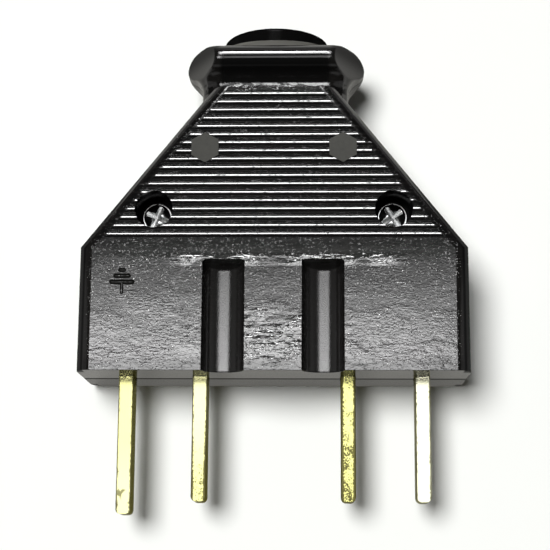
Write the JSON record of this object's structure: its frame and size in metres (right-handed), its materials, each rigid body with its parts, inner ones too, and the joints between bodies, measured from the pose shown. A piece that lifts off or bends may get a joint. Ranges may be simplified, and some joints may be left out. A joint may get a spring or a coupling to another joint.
{
  "type": "three-phase power plug",
  "caption": "Flat black moulded plug for three-phase power: tapered ribbed housing in two screwed halves, flat brass blades, flanged neck with a cable way.",
  "frame": {"origin": "middle of the pin end face, on the plane where the two halves meet", "axes": "+X across the row of blades, +Y to the cable end, +Z out of the grooved and ribbed front face; the plug lies on its rear face"},
  "size_m": [0.099, 0.1268, 0.0308],
  "materials": {
    "phenolic": "moulded black phenolic, glossy, slightly wavy",
    "brass": "drawn brass with a few dark tarnish specks",
    "zinc": "bright zinc-plated steel",
    "steel": "dull dark oxidised steel"
  },
  "bodies": {
    "root": {"front_shell": "phenolic", "rear_shell": "phenolic", "earth_blade": "brass", "case_screw_left": "zinc", "case_screw_right": "zinc", "case_insert_left": "steel", "case_insert_right": "steel", "cord_clamp": "steel", "clamp_screw_left": "zinc", "clamp_screw_right": "zinc", "clamp_insert_left": "steel", "clamp_insert_right": "steel", "phase_blade_1": "brass", "phase_blade_2": "brass", "phase_blade_3": "brass", "terminal_screw_1": "zinc", "terminal_screw_2": "zinc", "terminal_screw_3": "zinc", "terminal_screw_4": "zinc", "terminal_washer_1": "zinc", "terminal_washer_2": "zinc", "terminal_washer_3": "zinc", "terminal_washer_4": "zinc"}
  },
  "joints": []
}
